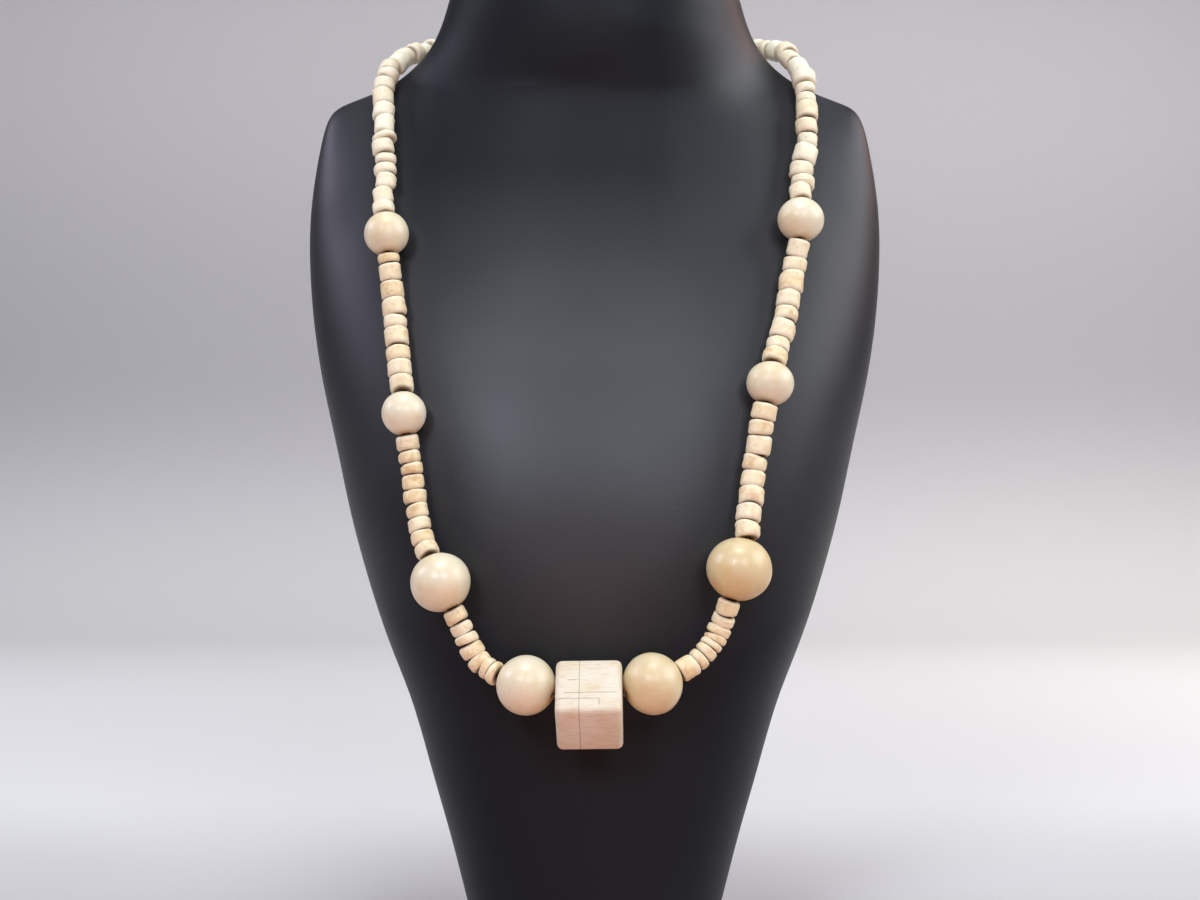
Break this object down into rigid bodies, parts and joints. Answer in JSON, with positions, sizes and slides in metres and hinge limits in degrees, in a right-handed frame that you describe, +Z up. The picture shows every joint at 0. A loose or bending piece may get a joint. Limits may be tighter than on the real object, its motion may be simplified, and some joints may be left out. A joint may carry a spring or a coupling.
{
  "type": "beaded necklace on a neck bust",
  "caption": "Long necklace of small tube beads with larger round beads and a cube at its middle, hung on a plain black neck bust.",
  "frame": {"origin": "middle of the bust's flat base, where it stands", "axes": "+Z up through the neck, -Y to the front where the cube hangs, +X to the wearer's left, which is the viewer's right"},
  "size_m": [0.1944, 0.1354, 0.34],
  "materials": {
    "bust_skin": "smooth satin black leatherette",
    "ball_bone": "polished bone, satin",
    "cube_bone": "sanded bone tiles, matt",
    "tube_bone": "tumbled bone, matt",
    "thread_cotton": "waxed cotton"
  },
  "bodies": {
    "root": {"ball_large_left": "ball_bone", "ball_large_right": "ball_bone", "ball_low_left": "ball_bone", "ball_low_right": "ball_bone", "ball_middle_left": "ball_bone", "ball_middle_right": "ball_bone", "ball_upper_left": "ball_bone", "ball_upper_right": "ball_bone", "bead_left_low_1": "tube_bone", "bead_left_low_2": "tube_bone", "bead_left_low_3": "tube_bone", "bead_left_low_4": "tube_bone", "bead_left_low_5": "tube_bone", "bead_left_low_6": "tube_bone", "bead_left_low_7": "tube_bone", "bead_left_middle_1": "tube_bone", "bead_left_middle_2": "tube_bone", "bead_left_middle_3": "tube_bone", "bead_left_middle_4": "tube_bone", "bead_left_middle_5": "tube_bone", "bead_left_middle_6": "tube_bone", "bead_left_middle_7": "tube_bone", "bead_left_middle_8": "tube_bone", "bead_left_middle_9": "tube_bone", "bead_right_low_1": "tube_bone", "bead_right_low_2": "tube_bone", "bead_right_low_3": "tube_bone", "bead_right_low_4": "tube_bone", "bead_right_low_5": "tube_bone", "bead_right_low_6": "tube_bone", "bead_right_low_7": "tube_bone", "bead_right_low_8": "tube_bone", "bead_right_middle_1": "tube_bone", "bead_right_middle_2": "tube_bone", "bead_right_middle_3": "tube_bone", "bead_right_middle_4": "tube_bone", "bead_right_middle_5": "tube_bone", "bead_right_middle_6": "tube_bone", "bead_right_middle_7": "tube_bone", "bead_right_middle_8": "tube_bone", "bust": "bust_skin", "cube": "cube_bone", "string_left_top_1": "tube_bone", "string_left_top_2": "tube_bone", "string_left_upper_1": "tube_bone", "string_nape_1": "tube_bone", "string_nape_2": "tube_bone", "string_nape_3": "tube_bone", "string_nape_4": "tube_bone", "string_nape_5": "tube_bone", "string_right_top_1": "tube_bone", "string_right_top_2": "tube_bone", "string_right_upper_1": "tube_bone", "thread": "thread_cotton"}
  },
  "joints": []
}
